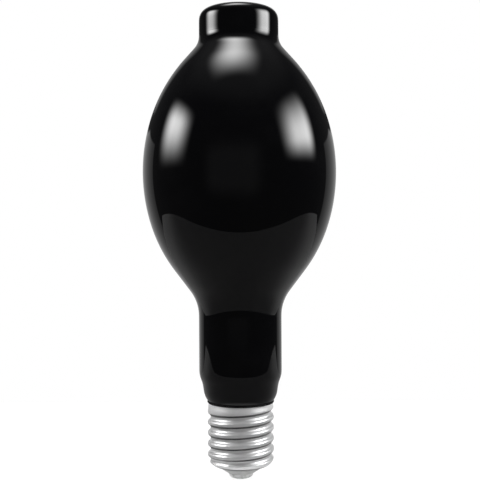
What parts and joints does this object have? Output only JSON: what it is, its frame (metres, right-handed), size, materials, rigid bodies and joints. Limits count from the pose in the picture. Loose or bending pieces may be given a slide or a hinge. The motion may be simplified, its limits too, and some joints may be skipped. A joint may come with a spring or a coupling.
{
  "type": "uv black light bulb",
  "caption": "Black glass ultraviolet lamp with a bulged body, a short cylindrical nub and a straight neck, on a large round-thread screw cap with an insulator and an end contact",
  "frame": {"origin": "centre of the end contact's flat foot, where the lamp meets the holder's centre contact", "axes": "+Z runs along the lamp's axis from the end contact to the nub; the thread's full groove starts at +X"},
  "size_m": [0.1149, 0.115, 0.2814],
  "materials": {
    "black_glass": "gloss",
    "black_cement": "matte",
    "shell_metal": "satin",
    "pale_insulator": "satin",
    "contact_metal": "satin"
  },
  "bodies": {
    "root": {"glass_bulb": "black_glass", "cement_ring": "black_cement", "screw_shell": "shell_metal", "insulator": "pale_insulator", "end_contact": "contact_metal"}
  },
  "joints": []
}
